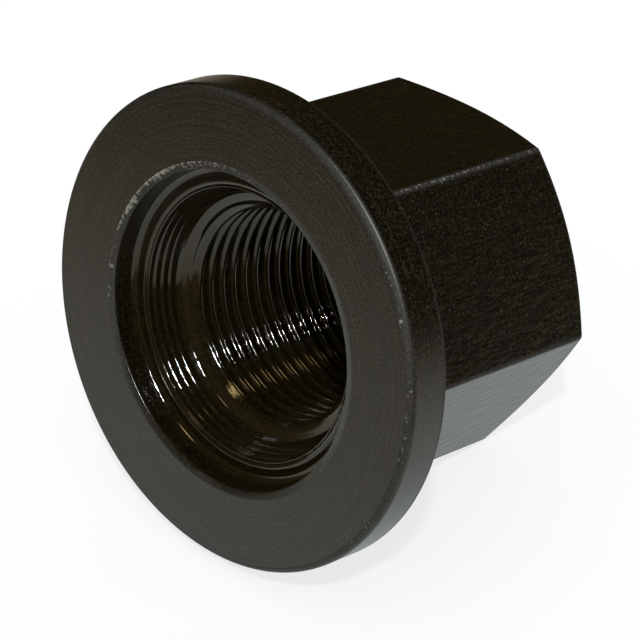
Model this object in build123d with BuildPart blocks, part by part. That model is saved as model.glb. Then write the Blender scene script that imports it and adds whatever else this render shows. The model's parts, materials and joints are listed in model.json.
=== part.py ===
"""Flanged wheel nut, turned and forged in one piece, lying on its side as it comes to rest on a table.

The blank is a round flange with a hexagon behind it.  The flange's front face is the bearing face that
clamps a wheel.  From that face the hole goes in by steps: a shallow recess with a round hollow at its
foot, a round lip, a tapered throat, a narrow ledge and then the threaded bore, which runs out through the
hexagon's end.

Units are millimetres and +Z is up.  The nut's axis lies in the YZ plane.  The nut touches the table at
the flange's rim and at the far end of its lowest flat, so its axis dips towards +Y and the bearing face
looks along -Y and a little upwards.  The origin is on the table, below the middle of the nut's box.
"""

import os
from math import atan2, cos, degrees, radians, sin, tan

from build123d import *

# ---------------------------------------------------------------- driving dimensions

# Blank
flange_diameter = 46.5
flange_thickness = 4.7
across_flats = 32.0
nut_height = 31.5  # bearing face to the end of the hexagon

# Broken edges of the flange
rim_front_chamfer = 0.5
rim_rear_chamfer = 0.25

# End of the hexagon: a cone of this angle to the end face takes the six corners off
end_chamfer_angle = 30.0
end_face_diameter = 30.4

# Root of the hexagon, where it meets the back of the flange
hexagon_root_radius = 0.6

# Steps of the hole, from the bearing face inwards.  Depths are measured from the bearing face.
# The recess's wall, the slope up to the lip and the throat meet in corners that are then rounded.
recess_diameter = 30.6
recess_corner_depth = 3.07
recess_corner_radius = 0.75
mouth_diameter = 32.1  # of the shallow bevel round the recess's mouth
mouth_bevel_depth = 0.15
lip_diameter = 26.5
lip_depth = 2.08
lip_radius = 0.45
throat_diameter = 23.8  # narrow end of the tapered throat
throat_depth = 5.7
ledge_diameter = 21.6  # inner edge of the ledge, where the thread's lead-in starts
ledge_depth = 5.95

# Thread, M22 x 1.5.  The solid has the plain bore at the minor diameter.
thread_major_diameter = 22.0
thread_pitch = 1.5
thread_height = 5 / 8 * thread_pitch * cos(radians(30))  # of a metric internal thread
lead_in_angle = 45.0
end_countersink_diameter = 23.0
end_countersink_angle = 45.0

# ---------------------------------------------------------------- sizes that follow

flange_r = flange_diameter / 2
flat_r = across_flats / 2
corner_r = flat_r / cos(radians(30))
end_face_r = end_face_diameter / 2
minor_r = thread_major_diameter / 2 - thread_height
lead_in_depth = ledge_depth + (ledge_diameter / 2 - minor_r) / tan(radians(lead_in_angle))
recess_corner = (recess_diameter / 2, recess_corner_depth)
lip_corner = (lip_diameter / 2, lip_depth)
countersink_r = end_countersink_diameter / 2
countersink_start = nut_height - (countersink_r - minor_r) / tan(radians(end_countersink_angle))
clear_r = corner_r + 1  # a radius that is clear of the hexagon
tolerance = 1e-4  # an edge whose middle is this near a plane is taken to lie on it


def chamfer_cone_height(radius):
    """Distance from the bearing face to the end chamfer's cone, at a distance from the axis."""
    return nut_height - (radius - end_face_r) * tan(radians(end_chamfer_angle))


# ---------------------------------------------------------------- how it lies

# The axis is tilted by the line from the rim's rear edge to the far end of the flat that is underneath.
rim_contact = flange_thickness - rim_rear_chamfer
flat_contact = chamfer_cone_height(flat_r)
tilt = atan2(flange_r - flat_r, flat_contact - rim_contact)

# Centre of the bearing face: its height over the table, and its place along Y for a centred box
face_height = flange_r * cos(tilt) + rim_contact * sin(tilt)
front_y = -(flange_r - rim_front_chamfer) * sin(tilt)
rear_y = nut_height * cos(tilt) + end_face_r * sin(tilt)
face_y = -(front_y + rear_y) / 2

bearing_plane = Plane(
    origin=(0, face_y, face_height),
    x_dir=(1, 0, 0),
    z_dir=(0, cos(tilt), -sin(tilt)),
)
# Half section through the axis: local X is the distance from the axis, local Y the depth from the face
section_plane = Plane(
    origin=bearing_plane.origin,
    x_dir=bearing_plane.x_dir,
    z_dir=bearing_plane.x_dir.cross(bearing_plane.z_dir),
)
nut_axis = Axis(bearing_plane.origin, bearing_plane.z_dir)

# ---------------------------------------------------------------- the nut

with BuildPart() as nut_body:
    # Hexagon, with a flat underneath and a flat on top
    with BuildSketch(bearing_plane):
        RegularPolygon(radius=flat_r, side_count=6, major_radius=False, rotation=0)
    extrude(amount=nut_height)

    # Turned envelope: the cone on the hexagon's end takes the corners off
    with BuildSketch(section_plane):
        with BuildLine():
            Polyline(
                (0, 0),
                (clear_r, 0),
                (clear_r, chamfer_cone_height(clear_r)),
                (end_face_r, nut_height),
                (0, nut_height),
                close=True,
            )
        make_face()
    revolve(axis=nut_axis, mode=Mode.INTERSECT)

    # Flange
    with BuildSketch(section_plane):
        with BuildLine():
            Polyline(
                (0, 0),
                (flange_r - rim_front_chamfer, 0),
                (flange_r, rim_front_chamfer),
                (flange_r, flange_thickness - rim_rear_chamfer),
                (flange_r - rim_rear_chamfer, flange_thickness),
                (0, flange_thickness),
                close=True,
            )
        make_face()
    revolve(axis=nut_axis)

    # Forged radius round the root of the hexagon
    fillet(
        [
            edge
            for edge in nut_body.edges().filter_by(GeomType.LINE)
            if abs(bearing_plane.to_local_coords(edge.center()).Z - flange_thickness) < tolerance
        ],
        radius=hexagon_root_radius,
    )

    # Stepped hole from the bearing face to the hexagon's end
    with BuildSketch(section_plane) as hole_section:
        with BuildLine():
            Polyline(
                (0, 0),
                (mouth_diameter / 2, 0),
                (recess_diameter / 2, mouth_bevel_depth),
                recess_corner,
                lip_corner,
                (throat_diameter / 2, throat_depth),
                (ledge_diameter / 2, ledge_depth),
                (minor_r, lead_in_depth),
                (minor_r, countersink_start),
                (countersink_r, nut_height),
                (0, nut_height),
                close=True,
            )
        make_face()
        for corner, radius in ((recess_corner, recess_corner_radius), (lip_corner, lip_radius)):
            fillet(hole_section.vertices().sort_by_distance(corner)[0], radius)
    revolve(axis=nut_axis, mode=Mode.SUBTRACT)

nut_body.part.label = "nut_body"

# ---------------------------------------------------------------- export

os.makedirs("parts", exist_ok=True)
export_step(nut_body.part, "parts/nut_body.step")

print(f"tilt {degrees(tilt):.3f} deg, bearing face centre y {face_y:.4f}, z {face_height:.4f}")
print(f"minor radius {minor_r:.4f}, thread from {lead_in_depth:.3f} to {countersink_start:.3f}")
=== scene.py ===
"""Looks of the flanged lug nut: one closed mesh with its thread, in oiled black oxide, on a white floor.

Sizes are in millimetres, in the nut's own frame: x is the row's +X, z points out of the hole's mouth and
y is square to both, upwards.  The bearing face is at z = 0, and a depth is a distance behind it.
Azimuths turn round z from x towards y.  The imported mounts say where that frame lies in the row's.
The stage, which is the floor, the dark dome, the lamps and the camera, is in metres in the row's frame.
"""

import json
from cmath import exp, phase
from collections import namedtuple
from math import atan, ceil, cos, pi, radians, sin, sqrt, tan

import bpy
from mathutils import Matrix, Vector


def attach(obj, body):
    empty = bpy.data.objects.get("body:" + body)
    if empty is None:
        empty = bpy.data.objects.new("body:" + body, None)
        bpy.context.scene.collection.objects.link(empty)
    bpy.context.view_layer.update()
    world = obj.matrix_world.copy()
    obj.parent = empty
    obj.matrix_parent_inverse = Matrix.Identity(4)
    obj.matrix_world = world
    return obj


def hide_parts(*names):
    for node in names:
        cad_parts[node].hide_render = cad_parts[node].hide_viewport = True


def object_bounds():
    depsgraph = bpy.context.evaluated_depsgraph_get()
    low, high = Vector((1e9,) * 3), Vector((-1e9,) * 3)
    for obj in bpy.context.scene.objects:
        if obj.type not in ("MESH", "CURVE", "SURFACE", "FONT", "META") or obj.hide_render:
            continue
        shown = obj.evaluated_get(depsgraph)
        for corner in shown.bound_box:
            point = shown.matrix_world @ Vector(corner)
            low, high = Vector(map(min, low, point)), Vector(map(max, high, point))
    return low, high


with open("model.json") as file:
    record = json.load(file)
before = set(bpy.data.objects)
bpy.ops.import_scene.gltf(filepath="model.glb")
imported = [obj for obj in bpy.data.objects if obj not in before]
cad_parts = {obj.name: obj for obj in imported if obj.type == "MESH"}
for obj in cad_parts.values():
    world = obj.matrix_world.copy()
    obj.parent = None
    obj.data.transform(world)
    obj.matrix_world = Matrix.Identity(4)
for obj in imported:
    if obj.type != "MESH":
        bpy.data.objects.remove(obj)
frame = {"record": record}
cad_low, cad_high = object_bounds()

MM = 0.001
mounts = {mount["name"]: mount for mount in frame["record"]["mounts"]}

# ---------------------------------------------------------------- sizes, in millimetres

FLANGE_R = (cad_high.x - cad_low.x) / 2 / MM
FLANGE_THICKNESS = 4.7
FLAT_R = 16.0
NUT_HEIGHT = 31.5
RIM_FRONT_CHAMFER = 0.5
RIM_REAR_CHAMFER = 0.25
ROOT_RADIUS = 0.6
CORNER_RADIUS = 0.4
END_FACE_R = 15.2
END_CHAMFER = radians(30)

RECESS_R = mounts["recess"]["dims"]["r_mm"]
MOUTH_R = 16.05
MOUTH_BEVEL = 0.15
RECESS_DEPTH = 3.07
RECESS_FILLET = 0.75
LIP_R = 13.25
LIP_DEPTH = 2.08
LIP_RADIUS = 0.45
THROAT_R = 11.9
THROAT_DEPTH = 5.7
LEDGE_R = 10.8
LEDGE_DEPTH = 5.95

MINOR_R = mounts["thread"]["dims"]["r_mm"]
MAJOR_R = 11.0
PITCH = 1.5
COUNTERSINK_R = 11.5
THREAD_END = NUT_HEIGHT - 0.3

# Shallow hollows turned round the tapered throat, from its narrow end to where the lip starts
SCALLOPS = 5  # to the whole length of the throat
SCALLOP_DEPTH = 0.16
SCALLOP_STEPS = 4
SCALLOPS_FROM, SCALLOPS_TO = 0.06, 0.93  # as shares of that length

# Radii of the edges that are only rounded off
THROAT_EDGE = 0.12
MOUTH_EDGE = 0.05
RIM_FACE_EDGE = 0.3  # where the front chamfer meets the bearing face
RIM_FRONT_EDGE = 0.5  # where it meets the rim
RIM_REAR_EDGE = 0.3
FLANGE_BACK_EDGE = 0.2
END_CHAMFER_EDGE = 0.35
END_FACE_EDGE = 0.3
COUNTERSINK_EDGE = 0.1

# Wear runs from 0 to 1.  Each place that is worn unevenly has an azimuth where it is worn most.
MOUTH_WORN_AT = radians(140)
MOUTH_INNER_WEAR = 0.3  # of the bevel's inner edge, as a share of its outer edge's
RIM_WORN_AT = radians(15)
RIM_LEAST_WEAR, RIM_MORE_WEAR = 0.15, 0.35
HEXAGON_WORN_AT = radians(60)
CORNER_LEAST_WEAR, CORNER_MORE_WEAR = 0.2, 0.6
CORNER_WEAR_REACH = radians(1.2)  # to each side of a corner of the hexagon
FRONT_CHAMFER_WEAR = 0.25
FRONT_EDGE_WEAR = 0.1
REAR_BAND_WEAR = 0.12
REAR_BAND_WIDTH = 0.35  # on the rim, next to its rear chamfer
REAR_EDGE_WEAR = 0.15
ROOT_WEAR = 0.12
END_CHAMFER_WEAR = 0.2
END_FACE_WEAR = 0.4

# Mesh
SECTORS = 6
STEPS_PER_HALF_SECTOR = 20
CORNER_SPACING = 0.3  # of the columns at a corner, as a share of an even spacing
GUARD = 0.08  # from a rounded edge to the next row of points, which keeps the wear on the edge

# Fractions of a turn behind the middle of the crest where the thread has a row of points
THREAD_ROWS = (0.0, 0.09, 0.15, 0.21, 0.28, 0.36, 0.44, 0.56, 0.64, 0.72, 0.79, 0.85, 0.91)
CREST_HALF_WIDTH = 0.06  # in turns, where the crest is flat
FLANK_WIDTH = 0.41  # in turns, from the crest's edge to the root

# ---------------------------------------------------------------- the nut's own frame

outward = Vector(mounts["bearing_face"]["axis"]).normalized()
on_face = Vector(mounts["bearing_face"]["pos_m"])
on_axis = Vector(mounts["thread"]["pos_m"])
face_centre = on_axis + outward * (on_face - on_axis).dot(outward)
across = Vector((1, 0, 0))
upward = outward.cross(across)
nut_to_row = (
    Matrix.Translation(face_centre)
    @ Matrix((across, upward, outward)).transposed().to_4x4()
    @ Matrix.Scale(MM, 4)
)

# ---------------------------------------------------------------- section of the nut


def column_azimuths():
    """Azimuths of the mesh's columns, closer together near the hexagon's corners."""
    half = pi / SECTORS
    shares = [n / STEPS_PER_HALF_SECTOR for n in range(STEPS_PER_HALF_SECTOR)]
    offsets = [half * (CORNER_SPACING * share + (1 - CORNER_SPACING) * share**2) for share in shares]
    found = []
    for sector in range(SECTORS):
        corner = 2 * half * sector
        found += [corner + offset for offset in offsets]
        found.append(corner + half)
        found += [corner + 2 * half - offset for offset in reversed(offsets[1:])]
    return found


def angle_from_corner(azimuth):
    """Angle to the nearest corner of the hexagon.  One corner is at azimuth 0."""
    half = pi / SECTORS
    return abs((azimuth + half) % (2 * half) - half)


def hexagon_radius(azimuth):
    """Distance from the axis to the side of the hexagon, whose corners are rounded."""
    half = pi / SECTORS
    from_corner = angle_from_corner(azimuth)
    centre = (FLAT_R - CORNER_RADIUS) / cos(half)
    tangent = atan(CORNER_RADIUS * sin(half) / (centre + CORNER_RADIUS * cos(half)))
    if from_corner < tangent:
        return centre * cos(from_corner) + sqrt(CORNER_RADIUS**2 - (centre * sin(from_corner)) ** 2)
    return FLAT_R / cos(half - from_corner)


def bored_radius(depth):
    """Radius of the hole behind the ledge, before the thread is cut."""
    lead_in = LEDGE_R - (depth - LEDGE_DEPTH)
    countersink = COUNTERSINK_R - (NUT_HEIGHT - depth)
    return max(MINOR_R, lead_in, countersink)


def threaded_radius(depth, azimuth):
    """Radius of the hole with its right-hand thread, whose crests and roots are rounded off by oil."""
    turn = (depth - LEDGE_DEPTH) / PITCH + azimuth / (2 * pi)
    from_crest = abs((turn + 0.5) % 1 - 0.5)
    share = min(max((from_crest - CREST_HALF_WIDTH) / FLANK_WIDTH, 0), 1)
    cut = share * share * (3 - 2 * share)
    return max(bored_radius(depth), MINOR_R + (MAJOR_R - MINOR_R) * cut)


# A corner of the section.  Its fillet is drawn in so many arc steps and has the wear, and so many steps
# lead on from it to the next corner, over a surface that has the wear_on.
Corner = namedtuple("Corner", "radius depth fillet arc steps wear wear_on", defaults=(0, 0, 1, 0, 0))


def path_through(corners):
    """Points of a path in section, as (radius, depth, wear)."""
    spots = [complex(corner.radius, corner.depth) for corner in corners]
    arcs = []
    for i, corner in enumerate(corners):
        if not corner.arc:
            arcs.append([(spots[i], corner.wear)])
            continue
        came = spots[i] - spots[i - 1]
        goes = spots[i + 1] - spots[i]
        came /= abs(came)
        goes /= abs(goes)
        turn = phase(goes / came)
        side = 1.0 if turn > 0 else -1.0
        start = spots[i] - came * corner.fillet * tan(abs(turn) / 2)
        centre = start + came * 1j * side * corner.fillet
        arc = []
        for n in range(corner.arc + 1):
            arc.append((centre + (start - centre) * exp(1j * turn * n / corner.arc), corner.wear))
        if corner.fillet > GUARD:
            before = (start - came * GUARD, corners[i - 1].wear_on)
            after = (arc[-1][0] + goes * GUARD, corner.wear_on)
            arc = [before] + arc + [after]
        arcs.append(arc)
    path = []
    for i, arc in enumerate(arcs):
        path += arc
        if i + 1 < len(arcs):
            start, end, corner = arc[-1][0], arcs[i + 1][0][0], corners[i]
            for n in range(1, corner.steps):
                path.append((start + (end - start) * n / corner.steps, corner.wear_on))
    return [(spot.real, spot.imag, wear) for spot, wear in path]


def facing(azimuth, towards):
    """1 at one azimuth, falling to 0 on the opposite side of the nut."""
    return 0.5 + 0.5 * cos(azimuth - towards)


def corner_wear(azimuth):
    """1 on the hexagon's corners and 0 from a little beside them."""
    return max(0, 1 - angle_from_corner(azimuth) / CORNER_WEAR_REACH)


def throat_hollows():
    """Corners of the throat's section, along the hollows that turning left in its cone."""
    corners = []
    steps = SCALLOPS * SCALLOP_STEPS
    for step in range(1, steps):
        along = SCALLOPS_FROM + step / steps
        within = step % SCALLOP_STEPS / SCALLOP_STEPS
        hollow = SCALLOP_DEPTH * 4 * within * (1 - within)
        radius = THROAT_R + (LIP_R - THROAT_R) * along + hollow
        depth = THROAT_DEPTH + (LIP_DEPTH - THROAT_DEPTH) * along
        if along < SCALLOPS_TO:
            corners.append(Corner(radius, depth))
    return corners


def section_path(azimuth):
    """From the ledge out of the hole, over the bearing face, rim, hexagon and end into the countersink.

    It has as many points at every azimuth, so that the points of one step make a row round the nut.
    """
    side = hexagon_radius(azimuth)
    cone = NUT_HEIGHT - (side - END_FACE_R) * tan(END_CHAMFER)
    mouth_wear = facing(azimuth, MOUTH_WORN_AT) ** 3
    rim_wear = RIM_LEAST_WEAR + RIM_MORE_WEAR * facing(azimuth, RIM_WORN_AT) ** 2
    on_corners = CORNER_LEAST_WEAR + CORNER_MORE_WEAR * facing(azimuth, HEXAGON_WORN_AT) ** 6
    side_wear = on_corners * corner_wear(azimuth)
    front_r = FLANGE_R - RIM_FRONT_CHAMFER
    back_r = FLANGE_R - RIM_REAR_CHAMFER
    rim_end = FLANGE_THICKNESS - RIM_REAR_CHAMFER
    return path_through([
        Corner(threaded_radius(LEDGE_DEPTH, azimuth), LEDGE_DEPTH, steps=2),
        Corner(THROAT_R, THROAT_DEPTH, THROAT_EDGE, arc=2),
        *throat_hollows(),
        Corner(LIP_R, LIP_DEPTH, LIP_RADIUS, arc=6),
        Corner(RECESS_R, RECESS_DEPTH, RECESS_FILLET, arc=8, steps=3),
        Corner(RECESS_R, MOUTH_BEVEL, MOUTH_EDGE, arc=2, wear=MOUTH_INNER_WEAR * mouth_wear),
        Corner(MOUTH_R, 0, MOUTH_EDGE, arc=2, wear=mouth_wear),
        Corner(MOUTH_R + GUARD, 0, steps=14),
        Corner(front_r, 0, RIM_FACE_EDGE, arc=3, steps=2, wear=rim_wear, wear_on=FRONT_CHAMFER_WEAR),
        Corner(FLANGE_R, RIM_FRONT_CHAMFER, RIM_FRONT_EDGE, arc=4, steps=7, wear=FRONT_EDGE_WEAR),
        Corner(FLANGE_R, rim_end - REAR_BAND_WIDTH, wear_on=REAR_BAND_WEAR),
        Corner(FLANGE_R, rim_end, RIM_REAR_EDGE, arc=3, wear=REAR_EDGE_WEAR, wear_on=REAR_EDGE_WEAR),
        Corner(back_r, FLANGE_THICKNESS, FLANGE_BACK_EDGE, arc=3, steps=5, wear=REAR_EDGE_WEAR),
        Corner(side, FLANGE_THICKNESS, ROOT_RADIUS, arc=5, steps=18, wear=ROOT_WEAR, wear_on=side_wear),
        Corner(side, cone, END_CHAMFER_EDGE, arc=4, steps=3, wear=END_CHAMFER_WEAR),
        Corner(END_FACE_R, NUT_HEIGHT, END_FACE_EDGE, arc=3, steps=5, wear=END_FACE_WEAR),
        Corner(COUNTERSINK_R, NUT_HEIGHT, COUNTERSINK_EDGE, arc=2, wear=END_FACE_WEAR),
        Corner(threaded_radius(THREAD_END, azimuth), THREAD_END),
    ])


# ---------------------------------------------------------------- mesh


class NutMesh:
    """Points of the nut's frame, the faces between them and what the material asks of each point."""

    def __init__(self, azimuths):
        self.azimuths = azimuths
        self.points = []
        self.wear = []
        self.faces = []

    def add_point(self, radius, azimuth, depth, wear=0.0):
        self.points.append(Vector((radius * cos(azimuth), radius * sin(azimuth), -depth)))
        self.wear.append(wear)
        return len(self.points) - 1

    def add_face(self, corners):
        """A face, without the corners that fall together."""
        kept = [corner for i, corner in enumerate(corners) if corner != corners[i - 1]]
        if len(kept) > 2:
            self.faces.append(kept)

    def add_turned(self, path_at):
        """A row of points for each step of the path and the faces between them.  Gives the end rows."""
        paths = [path_at(azimuth) for azimuth in self.azimuths]
        rows = []
        for step in range(len(paths[0])):
            row = []
            for azimuth, path in zip(self.azimuths, paths):
                radius, depth, wear = path[step]
                row.append(self.add_point(radius, azimuth, depth, wear))
            rows.append(row)
        for near, far in zip(rows, rows[1:]):
            for i in range(len(near)):
                self.add_face((near[i], near[i - 1], far[i - 1], far[i]))
        return rows[0], rows[-1]

    def add_thread(self, first, last):
        """The thread, in rows that follow its helix from the row at the ledge to the last one."""
        per_turn = len(THREAD_ROWS)
        # Every row comes forward by a turn on its way round, so two turns more reach the end all round
        turns = ceil((THREAD_END - LEDGE_DEPTH) / PITCH) + 2
        columns = []
        for i, azimuth in enumerate(self.azimuths):
            column = []
            for row in range(turns * per_turn):
                turn = row // per_turn + THREAD_ROWS[row % per_turn] - azimuth / (2 * pi)
                depth = LEDGE_DEPTH + turn * PITCH
                if depth <= LEDGE_DEPTH:
                    column.append(first[i])
                elif depth >= THREAD_END:
                    column.append(last[i])
                else:
                    column.append(self.add_point(threaded_radius(depth, azimuth), azimuth, depth))
            columns.append(column)
        # A full turn round, the rows meet those of the turn before
        columns.append([first[0]] * per_turn + columns[0][:-per_turn])
        for near, far in zip(columns, columns[1:]):
            for row in range(len(near) - 1):
                self.add_face((near[row], far[row], far[row + 1], near[row + 1]))


def make_nut():
    """The nut as one closed mesh, in place in the row's frame."""
    nut = NutMesh(column_azimuths())
    ledge_row, end_row = nut.add_turned(section_path)
    nut.add_thread(ledge_row, end_row)

    mesh = bpy.data.meshes.new("lug_nut")
    mesh.from_pydata([nut_to_row @ point for point in nut.points], [], nut.faces)
    mesh.attributes.new("place", "FLOAT_VECTOR", "POINT")
    mesh.attributes["place"].data.foreach_set("vector", [value for point in nut.points for value in point])
    mesh.attributes.new("wear", "FLOAT", "POINT")
    mesh.attributes["wear"].data.foreach_set("value", nut.wear)
    mesh.shade_smooth()
    piece = bpy.data.objects.new("lug_nut", mesh)
    bpy.context.collection.objects.link(piece)
    normals = piece.modifiers.new("crisp_faces", "WEIGHTED_NORMAL")
    normals.weight = 100  # the largest faces at a point decide its normal
    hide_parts("nut_body")
    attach(piece, "root")
    return piece


# ---------------------------------------------------------------- materials


class Nodes:
    """Short calls that add nodes to a material or world and link them."""

    def __init__(self, owner):
        owner.use_nodes = True
        self.tree = owner.node_tree
        self.tree.nodes.clear()

    def add(self, kind, inputs=None, **settings):
        """A node with its settings.  An input is a number, a colour, a vector or another node's output."""
        node = self.tree.nodes.new("ShaderNode" + kind)
        for name, value in settings.items():
            setattr(node, name, value)
        for key, value in (inputs or {}).items():
            if isinstance(value, bpy.types.NodeSocket):
                self.tree.links.new(value, node.inputs[key])
            else:
                node.inputs[key].default_value = value
        return node

    def math(self, operation, *values):
        return self.add("Math", dict(enumerate(values)), operation=operation).outputs[0]

    def mapped(self, value, low, high, to_low=0.0, to_high=1.0):
        """The value carried from one range to another and kept inside it."""
        ends = {"Value": value, "From Min": low, "From Max": high, "To Min": to_low, "To Max": to_high}
        return self.add("MapRange", ends).outputs["Result"]

    def between(self, mask, where_0, where_1):
        """The first value where the mask is 0 and the second where it is 1."""
        return self.mapped(mask, 0, 1, where_0, where_1)

    def product(self, vector, factors):
        """The vector with each of its three parts multiplied."""
        return self.add("VectorMath", {0: vector, 1: factors}, operation="MULTIPLY").outputs[0]

    def noise(self, vector, scale, detail=2.0, roughness=0.5):
        sockets = {"Vector": vector, "Scale": scale, "Detail": detail, "Roughness": roughness}
        return self.add("TexNoise", sockets).outputs[0]

    def mix(self, factor, first, second):
        """A mix of two numbers."""
        return self.add("Mix", {0: factor, 2: first, 3: second}).outputs[0]

    def blend(self, factor, first, second):
        """A mix of two colours."""
        return self.add("Mix", {0: factor, 6: first, 7: second}, data_type="RGBA").outputs[2]


# Colours
OXIDE = (0.0032, 0.0034, 0.0011, 1)
BROWN_OXIDE = (0.0064, 0.0038, 0.0012, 1)
DARK_OIL = (0.0040, 0.0028, 0.0009, 1)
OIL = (0.0130, 0.0090, 0.0028, 1)
RUBBED_OXIDE = (0.034, 0.025, 0.013, 1)
WORN_STEEL = (0.28, 0.27, 0.22, 1)
DUST = (0.07, 0.06, 0.04, 1)
SPECULAR_TINT = (1.0, 0.96, 0.89, 1)

# Scales of the noises, per millimetre.  Those with three numbers are stretched along the nut.
LINES_PER_MM = 4.0
STREAK_STRETCH = (3, 3, 0.3)
WAVE_STRETCH = (1.3, 1.3, 0.5)
GRAIN_SCALE = 4.0
BLOTCH_SCALE = 0.4
WEAR_SCALE = 2.5
CLUSTER_SCALE = 0.6
DUST_SCALE = 5.0
OIL_SCALE = 1.5

# Ranges of the noises over which a look comes in
BLOTCHES = (0.42, 0.58)
DUST_SPECKS = (0.66, 0.74)
OIL_POOLS = (0.4, 0.62)
OIL_FILM = (0.4, 0.65)
RUBBED_PATCHES = (0.35, 0.6)

# Speckle of the oxide: what the grain and the marks weigh in it, and how it scales the colour
SPECKLE_GRAIN = 0.7
SPECKLE_STREAKS, SPECKLE_LINES = 0.15, 0.35
SPECKLE_DARKEST = (0.41, 0.50)  # on the hexagon and where turned
SPECKLE_RANGE = 0.15
SPECKLE_SCALES = (0.2, 4.0)

# Dust in the hole, as a share of the dust elsewhere
DUST_IN_BORE = 0.15

# Wear, which lightens rubbed edges and lays bare specks of steel
WEAR_WEIGHT = 0.4  # of the wear, and of the clusters, beside the noise of the patches
WORN_LEVELS = (0.98, 1.16)
WORN_MOST = 0.75
WORN_FROM = (0.02, 0.2)  # wear over which bare specks may show
RUBBED_BY = 0.8  # wear at which an edge is rubbed most
RUBBED_MOST = 0.6
ROUGH_BY = 0.3  # wear at which an edge is roughest
BARE_METAL = 0.5  # how metallic the barest specks are

# Relief, as multiples of one height in millimetres
RELIEF_HEIGHT = 0.03
STREAK_RELIEF = 1.2
LINE_RELIEF = 0.7
WAVE_RELIEF = 3.0
GRAIN_RELIEF = 0.5
OILED_RELIEF = 0.4  # of all of it, where oil fills the marks

# Gloss
DRY_ROUGHNESS = 0.32
WORN_ROUGHNESS = 0.8
OIL_ROUGHNESS = (0.04, 0.11)
MASK_EDGE = 0.1  # millimetres over which one zone of the surface passes into the next

Surface = namedtuple("Surface", "place edge in_bore turned marks grain")


def read_surface(nodes):
    """What the whole material is worked out from: the place, its wear, its zone and the marks it has."""
    place = nodes.add("Attribute", attribute_name="place").outputs["Vector"]
    edge = nodes.add("Attribute", attribute_name="wear").outputs["Fac"]
    flat = nodes.product(place, (1, 1, 0))
    radius = nodes.add("VectorMath", {0: flat}, operation="LENGTH").outputs["Value"]
    depth = nodes.math("MULTIPLY", nodes.add("SeparateXYZ", {0: place}).outputs[2], -1.0)

    # The tool has turned the flange and the hole, but not the hexagon
    on_flange = nodes.mapped(depth, FLANGE_THICKNESS + MASK_EDGE, FLANGE_THICKNESS)
    in_bore = nodes.mapped(radius, RECESS_R + MASK_EDGE, RECESS_R - MASK_EDGE)
    turned = nodes.math("MAXIMUM", on_flange, in_bore)

    # Turning lines follow the radius and the depth and come and go round the nut
    direction = nodes.add("VectorMath", {0: flat}, operation="NORMALIZE").outputs[0]
    sides = nodes.add("SeparateXYZ", {0: direction}).outputs
    across_lines = nodes.math("MULTIPLY", nodes.math("ADD", radius, depth), LINES_PER_MM)
    line_place = nodes.add("CombineXYZ", {0: across_lines, 1: sides[0], 2: sides[1]}).outputs[0]
    lines = nodes.noise(line_place, 1.0, detail=4, roughness=0.7)

    # Draw marks run along the hexagon's sides
    streaks = nodes.noise(nodes.product(place, STREAK_STRETCH), 1.0, detail=3, roughness=0.6)
    marks = nodes.mix(turned, streaks, lines)

    grain = nodes.noise(place, GRAIN_SCALE, detail=3, roughness=0.6)
    return Surface(place, edge, in_bore, turned, marks, grain)


def relief(nodes, surface):
    """Bump from the tool's marks, the grain and the slight waves of the hexagon's forged skin."""
    waves = nodes.noise(nodes.product(surface.place, WAVE_STRETCH), 1.0, detail=2)
    waves = nodes.math("MULTIPLY", waves, nodes.between(surface.turned, WAVE_RELIEF, 0.0))
    mark_relief = nodes.between(surface.turned, STREAK_RELIEF, LINE_RELIEF)
    height = nodes.math("MULTIPLY", surface.marks, mark_relief)
    height = nodes.math("ADD", height, nodes.math("MULTIPLY", surface.grain, GRAIN_RELIEF))
    height = nodes.math("ADD", height, waves)
    height = nodes.math("MULTIPLY", height, nodes.between(surface.in_bore, 1.0, OILED_RELIEF))
    return nodes.add("Bump", {"Strength": 1.0, "Distance": RELIEF_HEIGHT * MM, "Height": height}).outputs[0]


def oiled_oxide(nodes, surface):
    """Colour of the unworn surface: speckled and blotchy oxide, and oil over it in the hole."""
    mark_weight = nodes.between(surface.turned, SPECKLE_STREAKS, SPECKLE_LINES)
    fine_marks = nodes.math("MULTIPLY", surface.marks, mark_weight)
    speckle = nodes.math("ADD", nodes.math("MULTIPLY", surface.grain, SPECKLE_GRAIN), fine_marks)
    speckle = nodes.math("SUBTRACT", speckle, nodes.between(surface.turned, *SPECKLE_DARKEST))
    speckle = nodes.mapped(speckle, 0, SPECKLE_RANGE, *SPECKLE_SCALES)
    blotches = nodes.noise(surface.place, BLOTCH_SCALE, detail=4, roughness=0.7)
    oxide = nodes.blend(nodes.mapped(blotches, *BLOTCHES), OXIDE, BROWN_OXIDE)
    oxide = nodes.add("VectorMath", {0: oxide, "Scale": speckle}, operation="SCALE").outputs[0]
    oil = nodes.blend(nodes.mapped(surface.grain, *OIL_POOLS), DARK_OIL, OIL)
    oxide = nodes.blend(surface.in_bore, oxide, oil)
    dust = nodes.mapped(nodes.noise(surface.place, DUST_SCALE, detail=2), *DUST_SPECKS)
    dust = nodes.math("MULTIPLY", dust, nodes.between(surface.in_bore, 1.0, DUST_IN_BORE))
    return nodes.blend(dust, oxide, DUST)


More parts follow.
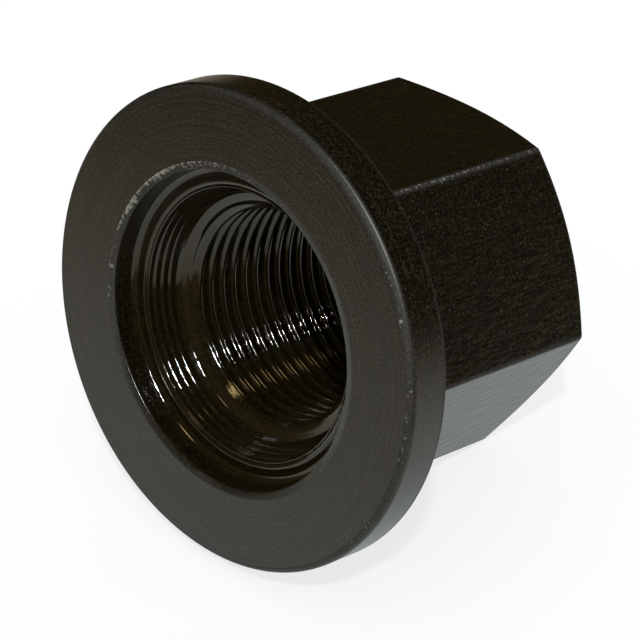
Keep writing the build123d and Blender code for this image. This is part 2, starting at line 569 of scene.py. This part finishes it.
def black_oxide():
    """Oiled black oxide on turned and forged steel, rubbed and worn along its edges."""
    material = bpy.data.materials.new("black_oxide")
    nodes = Nodes(material)
    surface = read_surface(nodes)
    edge = surface.edge

    # Rubbed edges are lighter in patches, and specks of bare steel show where the wear is strongest
    patches = nodes.noise(surface.place, WEAR_SCALE, detail=4, roughness=0.6)
    clusters = nodes.noise(surface.place, CLUSTER_SCALE, detail=2)
    worn_level = nodes.math("ADD", patches, nodes.math("MULTIPLY", edge, WEAR_WEIGHT))
    worn_level = nodes.math("ADD", worn_level, nodes.math("MULTIPLY", clusters, WEAR_WEIGHT))
    worn = nodes.mapped(worn_level, *WORN_LEVELS, 0, WORN_MOST)
    worn = nodes.math("MULTIPLY", worn, nodes.mapped(edge, *WORN_FROM))
    rubbed = nodes.mapped(edge, 0, RUBBED_BY, 0, RUBBED_MOST)
    rubbed = nodes.math("MULTIPLY", rubbed, nodes.mapped(patches, *RUBBED_PATCHES))
    colour = nodes.blend(rubbed, oiled_oxide(nodes, surface), RUBBED_OXIDE)
    colour = nodes.blend(worn, colour, WORN_STEEL)

    film = nodes.noise(surface.place, OIL_SCALE, detail=4, roughness=0.7)
    oily = nodes.mapped(film, *OIL_FILM, *OIL_ROUGHNESS)
    dry = nodes.mapped(edge, 0, ROUGH_BY, DRY_ROUGHNESS, WORN_ROUGHNESS)
    shader = nodes.add("BsdfPrincipled", {
        "Base Color": colour,
        "Metallic": nodes.math("MULTIPLY", worn, BARE_METAL),
        "Roughness": nodes.mix(surface.in_bore, dry, oily),
        "Normal": relief(nodes, surface),
        "IOR": 1.5,
        "Specular Tint": SPECULAR_TINT,
    })
    nodes.add("OutputMaterial", {"Surface": shader.outputs[0]})
    return material


def seen(nodes):
    """1 for rays that come from the camera, from a gloss or through glass, and 0 for the others."""
    path = nodes.add("LightPath").outputs
    direct = nodes.math("MAXIMUM", path["Is Camera Ray"], path["Is Glossy Ray"])
    return nodes.math("MAXIMUM", direct, path["Is Transmission Ray"])


def white_floor():
    """Diffuse white that looks pure white unless shaded.

    In a gloss it shows painted light: warmer and dimmer further off, and painted shade behind the nut.
    """
    material = bpy.data.materials.new("white_floor")
    nodes = Nodes(material)
    where = nodes.add("NewGeometry").outputs["Position"]
    away = nodes.add("VectorMath", {0: where}, operation="LENGTH").outputs["Value"]
    # Painted fall-off of light in the floor's reflection: warmer and dimmer further from the nut
    mirrored = nodes.blend(nodes.mapped(away, *FLOOR_PAINTED_FALLOFF), NEAR_FLOOR, FAR_FLOOR_PAINTED_DIM)
    # Painted shade behind the nut, seen only in gloss
    spot = nodes.add("SeparateXYZ", {0: where}).outputs
    behind = nodes.mapped(spot[1], *SHADE_STARTS)
    beside = nodes.mapped(nodes.math("ABSOLUTE", spot[0]), *SHADE_ENDS)
    mirrored = nodes.blend(nodes.math("MULTIPLY", behind, beside), mirrored, SHADED_FLOOR)
    colour = nodes.blend(nodes.add("LightPath").outputs["Is Glossy Ray"], WHITE, mirrored)
    paper = nodes.add("BsdfDiffuse", {"Color": PAPER}).outputs[0]
    glow = nodes.add("Emission", {"Color": colour, "Strength": 1.0}).outputs[0]
    share = nodes.math("MULTIPLY", seen(nodes), FLOOR_GLOW)
    mixed = nodes.add("MixShader", {0: share, 1: paper, 2: glow}).outputs[0]
    nodes.add("OutputMaterial", {"Surface": mixed})
    return material


def room_walls():
    """A painted reflection: a dark glow of painted shade, lighter low down in front of the nut as painted
    light.
    """
    material = bpy.data.materials.new("room_walls")
    nodes = Nodes(material)
    where = nodes.add("SeparateXYZ", {0: nodes.add("NewGeometry").outputs["Position"]}).outputs
    low = nodes.mapped(where[2], 0, PAINTED_LIT_HEIGHT, 1, 0)
    in_front = nodes.mapped(where[1], 0, -ROOM_RADIUS, 0, 1)
    colour = nodes.blend(nodes.math("MULTIPLY", low, in_front), ROOM_PAINTED_SHADE, PAINTED_LIT_COLOUR)
    glow = nodes.add("Emission", {"Color": colour, "Strength": 1.0}).outputs[0]
    nodes.add("OutputMaterial", {"Surface": glow})
    return material


# ---------------------------------------------------------------- stage

WHITE = (1, 1, 1, 1)
WORLD_STRENGTH = 0.75  # as light.  As a background it has a strength of 1.

FLOOR_SIZE = 6.0
FLOOR_GLOW = 0.75  # share of the floor's look that no shadow dims
PAPER = (0.97, 0.97, 0.97, 1)
# The floor as gloss sees it is a painted reflection: lit near the nut, dim and warm far off
NEAR_FLOOR = (0.90, 1.0, 0.98, 1)
FAR_FLOOR_PAINTED_DIM = (0.74, 0.55, 0.33, 1)
FLOOR_PAINTED_FALLOFF = (0.03, 0.14)  # from the middle of the nut, where the painted reflection of the floor turns warm and dim
# Painted shade on the floor as gloss sees it, behind the nut
SHADED_FLOOR = (0.06, 0.045, 0.025, 1)
SHADE_STARTS = (0.022, 0.040)  # along +Y, so that the hole's far end looks down at the painted shade
SHADE_ENDS = (0.08, 0.04)  # to either side

ROOM_RADIUS = 0.15
ROOM_RINGS = 16
ROOM_SIDES = 48
# The dome's glow is a painted reflection: painted shade, lighter low in front as painted light
ROOM_PAINTED_SHADE = (0.055, 0.037, 0.011, 1)
PAINTED_LIT_HEIGHT = 0.10
PAINTED_LIT_COLOUR = (0.20, 0.15, 0.085, 1)

LAMP_FROM = Vector((0.44, -0.38, 0.82))
LAMP_COLOUR = (0.86, 0.94, 1.0)
WARM_COLOUR = (1.0, 0.72, 0.36)
LAMP_WIDTH = radians(3)
LAMP_STRENGTH = 1.4
GLOSS_LAMP_STRENGTH = 3.6

SNOOT_DISTANCE = 0.11  # from the spot that it lights, so it stands inside the dark dome
SNOOT_CONE = radians(14)
SNOOT_BLEND = 0.2
LIT_SPOT_AZIMUTH = radians(228.4)  # on the hole's wall, where the middle lamp is mirrored to the camera
LIT_SPOT_DEPTH = 8.0  # millimetres
SNOOTS = (  # name, degrees round the nut's axis from LAMP_FROM, colour, strength, width in degrees
    ("snoot_low", -9, LAMP_COLOUR, 0.5, 2),
    ("snoot_middle", 0, LAMP_COLOUR, 3.0, 2.5),
    ("snoot_high", 9, LAMP_COLOUR, 0.7, 2),
    ("snoot_warm", 40, WARM_COLOUR, 0.5, 14),
)


def add_mesh(name, points, faces, material):
    mesh = bpy.data.meshes.new(name)
    mesh.from_pydata(points, [], faces)
    mesh.materials.append(material)
    made = bpy.data.objects.new(name, mesh)
    bpy.context.collection.objects.link(made)
    return made


def add_floor():
    half = FLOOR_SIZE / 2
    corners = [(-half, -half, 0), (half, -half, 0), (half, half, 0), (-half, half, 0)]
    add_mesh("floor", corners, [(0, 1, 2, 3)], white_floor())


def add_dark_room():
    """A dark dome round the nut that only its gloss sees, a painted reflection of an unlit room beyond the
    light table.
    """
    points = []
    for ring in range(ROOM_RINGS):
        up = pi / 2 * ring / ROOM_RINGS
        for side in range(ROOM_SIDES):
            turn = 2 * pi * side / ROOM_SIDES
            points.append(Vector((cos(turn) * cos(up), sin(turn) * cos(up), sin(up))) * ROOM_RADIUS)
    points.append(Vector((0, 0, ROOM_RADIUS)))
    faces = []
    for side in range(ROOM_SIDES):
        following = (side + 1) % ROOM_SIDES
        for ring in range(ROOM_RINGS - 1):
            near, far = ring * ROOM_SIDES, (ring + 1) * ROOM_SIDES
            faces.append((near + side, near + following, far + following, far + side))
        top = (ROOM_RINGS - 1) * ROOM_SIDES
        faces.append((top + side, top + following, len(points) - 1))
    room = add_mesh("dark_room", points, faces, room_walls())
    room.visible_camera = False
    room.visible_diffuse = False
    room.visible_transmission = False
    room.visible_volume_scatter = False
    room.visible_shadow = False


def add_lamp(name, kind, colour, energy, comes_from):
    lamp = bpy.data.lights.new(name, kind)
    lamp.color = colour
    lamp.energy = energy
    made = bpy.data.objects.new(name, lamp)
    made.rotation_euler = comes_from.to_track_quat("Z", "Y").to_euler()
    bpy.context.collection.objects.link(made)
    return made


def add_suns():
    """A lamp for the whole scene, and one from the same side that only gloss sees."""
    sun = add_lamp("cool_lamp", "SUN", LAMP_COLOUR, LAMP_STRENGTH, LAMP_FROM)
    sun.data.angle = LAMP_WIDTH
    gloss_sun = add_lamp("gloss_lamp", "SUN", LAMP_COLOUR, GLOSS_LAMP_STRENGTH, LAMP_FROM)
    gloss_sun.data.angle = LAMP_WIDTH
    gloss_sun.visible_diffuse = False


def add_snoots():
    """Lamps that only gloss sees, narrowed down to shine into the hole past the rim."""
    for name, turn, colour, strength, width in SNOOTS:
        turn = radians(turn)
        azimuth = LIT_SPOT_AZIMUTH + turn / 2
        on_wall = Vector((MAJOR_R * cos(azimuth), MAJOR_R * sin(azimuth), -LIT_SPOT_DEPTH))
        comes_from = Matrix.Rotation(turn, 3, outward) @ LAMP_FROM.normalized()
        snoot = add_lamp(name, "SPOT", colour, strength * 4 * pi * SNOOT_DISTANCE**2, comes_from)
        snoot.location = nut_to_row @ on_wall + comes_from * SNOOT_DISTANCE
        snoot.data.spot_size = SNOOT_CONE
        snoot.data.spot_blend = SNOOT_BLEND
        snoot.data.shadow_soft_size = SNOOT_DISTANCE * tan(radians(width) / 2)
        snoot.visible_camera = False
        snoot.visible_diffuse = False


def light_world():
    world = bpy.data.worlds.new("studio")
    nodes = Nodes(world)
    strength = nodes.mapped(seen(nodes), 0, 1, WORLD_STRENGTH, 1.0)
    sky = nodes.add("Background", {"Color": WHITE, "Strength": strength}).outputs[0]
    nodes.add("OutputWorld", {"Surface": sky})
    bpy.context.scene.world = world


# ---------------------------------------------------------------- camera

CAMERA_AZIMUTH = radians(47.48)  # from the row's -Y, the side that the bearing face looks to
CAMERA_ELEVATION = radians(38.19)
CAMERA_ROLL = radians(-3.57)
CAMERA_DISTANCE = 287.8 * MM
CAMERA_AIM = Vector((1.04, -3.28, 19.16)) * MM
LENS = 171.2
SENSOR_WIDTH = 36
CLIP_START = 10 * MM


def add_camera():
    back = Vector((
        sin(CAMERA_AZIMUTH) * cos(CAMERA_ELEVATION),
        -cos(CAMERA_AZIMUTH) * cos(CAMERA_ELEVATION),
        sin(CAMERA_ELEVATION),
    ))
    lens = bpy.data.cameras.new("camera")
    lens.lens = LENS
    lens.sensor_width = SENSOR_WIDTH
    lens.clip_start = CLIP_START
    camera = bpy.data.objects.new("camera", lens)
    turn = back.to_track_quat("Z", "Y").to_matrix() @ Matrix.Rotation(CAMERA_ROLL, 3, "Z")
    camera.matrix_world = Matrix.Translation(CAMERA_AIM + back * CAMERA_DISTANCE) @ turn.to_4x4()
    bpy.context.collection.objects.link(camera)
    bpy.context.scene.camera = camera


# ---------------------------------------------------------------- scene

bpy.context.scene.view_settings.view_transform = "Standard"
nut = make_nut()
nut.data.materials.append(black_oxide())
add_floor()
add_dark_room()
add_suns()
add_snoots()
light_world()
add_camera()
